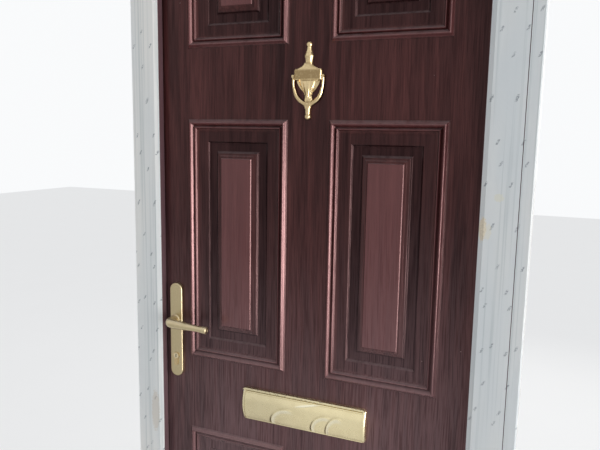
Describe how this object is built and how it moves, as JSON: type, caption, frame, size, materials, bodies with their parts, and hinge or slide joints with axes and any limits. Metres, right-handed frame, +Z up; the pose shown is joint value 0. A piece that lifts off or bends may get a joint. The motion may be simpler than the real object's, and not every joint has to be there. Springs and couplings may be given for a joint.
{
  "type": "panelled entrance door with frame",
  "caption": "Entrance door with raised moulded panels in its frame, with lever handle, multipoint lock, letter plate and urn knocker; it swings inwards.",
  "frame": {"origin": "middle of the sill's underside, at half the frame's depth", "axes": "+X to the right seen from outside, +Y into the house, +Z up"},
  "size_m": [0.891, 0.151, 2.12],
  "materials": {
    "foil_frame": "dark red-brown woodgrain foil outside, white inside",
    "white_plastic": "smooth white",
    "film": "whitish protective film",
    "foil_skin": "dark red-brown moulded woodgrain",
    "foam": "rigid insulating foam",
    "timber": "planed engineered timber",
    "zinc_steel": "bright zinc plated",
    "dark_steel": "galvanised",
    "seal_rubber": "black extruded seal",
    "satin_gold": "satin pale gold",
    "polished_gold": "polished and lacquered gold",
    "hinge_white": "white powder coat"
  },
  "bodies": {
    "frame": {"frame_lock_jamb": "foil_frame", "frame_hinge_jamb": "foil_frame", "frame_sill": "foil_frame", "frame_head": "foil_frame", "frame_reinforcement": "dark_steel", "frame_seal": "seal_rubber", "jamb_extension": "foil_frame", "protective_film": "film", "centre_keep": "zinc_steel", "upper_keep": "zinc_steel", "lower_keep": "zinc_steel", "keep_screws": "zinc_steel", "bottom_hinge_frame_leaf": "hinge_white", "middle_hinge_frame_leaf": "hinge_white", "top_hinge_frame_leaf": "hinge_white", "hinge_pins": "zinc_steel", "hinge_frame_screws": "zinc_steel"},
    "door": {"leaf_outer_skin": "foil_skin", "leaf_inner_skin": "white_plastic", "leaf_core": "foam", "lock_stile": "timber", "hinge_stile": "timber", "top_rail": "timber", "bottom_rail": "timber", "lock_faceplate": "zinc_steel", "lock_screws": "zinc_steel", "gearbox_case": "zinc_steel", "upper_hook_case": "zinc_steel", "lower_hook_case": "zinc_steel", "cylinder_body": "polished_gold", "outer_backplate": "satin_gold", "inner_backplate": "satin_gold", "backplate_bolts": "satin_gold", "lever_springs": "dark_steel", "letter_plate": "satin_gold", "letter_inner_frame": "satin_gold", "letter_sleeve": "white_plastic", "letter_bolts": "satin_gold", "outer_flap_pin": "zinc_steel", "inner_flap_pin": "zinc_steel", "flap_springs": "dark_steel", "knocker_plate": "polished_gold", "knocker_pin": "polished_gold", "knocker_bolt": "polished_gold", "bottom_hinge_door_leaf": "hinge_white", "middle_hinge_door_leaf": "hinge_white", "top_hinge_door_leaf": "hinge_white", "hinge_door_screws": "zinc_steel"},
    "handle": {"outer_lever": "satin_gold", "inner_lever": "satin_gold", "spindle": "zinc_steel", "follower": "zinc_steel"},
    "latch": {"latch_bolt": "zinc_steel"},
    "key_cylinder": {"cylinder_plug": "polished_gold"},
    "deadbolt": {"deadbolt": "zinc_steel"},
    "upper_hook": {"upper_hook": "zinc_steel"},
    "lower_hook": {"lower_hook": "zinc_steel"},
    "outer_flap": {"outer_flap": "satin_gold"},
    "inner_flap": {"inner_flap": "satin_gold"},
    "knocker": {"knocker_striker": "polished_gold"}
  },
  "joints": [
    {"name": "door_swing", "type": "hinge", "parent": "frame", "child": "door", "pos_m": [0.385, 0.047, 1.06], "axis": [0, 0, -1], "range_deg": [0, 95]},
    {"name": "handle_turn", "type": "hinge", "parent": "door", "child": "handle", "pos_m": [-0.333, 0.013, 1.081], "axis": [0, 1, 0], "range_deg": [0, 40], "stiffness_Nm_per_rad": 2.5, "springref_deg": -17.19},
    {"name": "latch_slide", "type": "slide", "parent": "door", "child": "latch", "axis": [-1, 0, 0], "range_m": [0, 0.012]},
    {"name": "key_turn", "type": "hinge", "parent": "door", "child": "key_cylinder", "pos_m": [-0.333, 0.013, 0.989], "axis": [0, 1, 0], "range_deg": [0, 180]},
    {"name": "deadbolt_slide", "type": "slide", "parent": "door", "child": "deadbolt", "axis": [-1, 0, 0], "range_m": [0, 0.02]},
    {"name": "upper_hook_swing", "type": "hinge", "parent": "door", "child": "upper_hook", "pos_m": [-0.366, 0.013, 1.615], "axis": [0, -1, 0], "range_deg": [0, 90]},
    {"name": "lower_hook_swing", "type": "hinge", "parent": "door", "child": "lower_hook", "pos_m": [-0.366, 0.013, 0.455], "axis": [0, -1, 0], "range_deg": [0, 90]},
    {"name": "outer_flap_lift", "type": "hinge", "parent": "door", "child": "outer_flap", "pos_m": [0, -0.015, 0.931], "axis": [-1, 0, 0], "range_deg": [0, 80], "stiffness_Nm_per_rad": 0.05, "springref_deg": -28.65},
    {"name": "inner_flap_lift", "type": "hinge", "parent": "door", "child": "inner_flap", "pos_m": [0, 0.041, 0.927], "axis": [1, 0, 0], "range_deg": [0, 85], "stiffness_Nm_per_rad": 0.05, "springref_deg": -28.65},
    {"name": "knocker_swing", "type": "hinge", "parent": "door", "child": "knocker", "pos_m": [0, -0.015, 1.65], "axis": [-1, 0, 0], "range_deg": [0, 100]}
  ],
  "couplings": [
    {"joint": "key_turn", "follows": "deadbolt_slide", "rad_per_m": 157.07},
    {"joint": "upper_hook_swing", "follows": "deadbolt_slide", "rad_per_m": 78.53},
    {"joint": "lower_hook_swing", "follows": "deadbolt_slide", "rad_per_m": 78.53}
  ]
}
